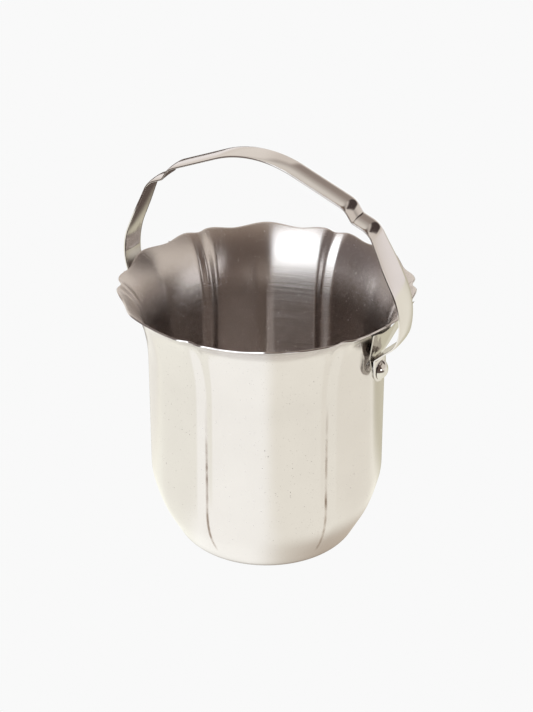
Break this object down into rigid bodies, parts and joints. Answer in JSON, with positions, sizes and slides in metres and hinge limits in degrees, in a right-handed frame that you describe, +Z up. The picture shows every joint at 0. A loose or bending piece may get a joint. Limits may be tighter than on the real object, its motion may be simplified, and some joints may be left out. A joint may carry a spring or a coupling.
{
  "type": "fluted pail with swing handle",
  "caption": "Six-lobed polished metal pail with a flared, scalloped rim and a bent strap handle that swings on a rivet and lug at each side.",
  "frame": {"origin": "centre of the underside of the flat base", "axes": "+Z up; X runs through both rivets, along the line that the handle turns about; the front is -Y"},
  "size_m": [0.1468, 0.1376, 0.1981],
  "materials": {
    "pot_steel": "mirror polished with faint hairlines",
    "handle_steel": "polished with softened edges",
    "lug_steel": "polished sheet",
    "rivet_steel": "polished dome",
    "washer_steel": "plain turned steel",
    "solder_metal": "dull smooth bead"
  },
  "bodies": {
    "pot": {"pot_shell": "pot_steel", "lug_right": "lug_steel", "lug_left": "lug_steel", "solder_right": "solder_metal", "solder_left": "solder_metal", "rivet_right": "rivet_steel", "rivet_left": "rivet_steel", "spacer_right": "washer_steel", "spacer_left": "washer_steel", "tail_washer_right": "washer_steel", "tail_washer_left": "washer_steel"},
    "handle": {"handle_strap": "handle_steel"}
  },
  "joints": [
    {"name": "handle_swing", "type": "hinge", "parent": "pot", "child": "handle", "pos_m": [0, 0, 0.1015], "axis": [1, 0, 0], "range_deg": [-145, 137]}
  ]
}
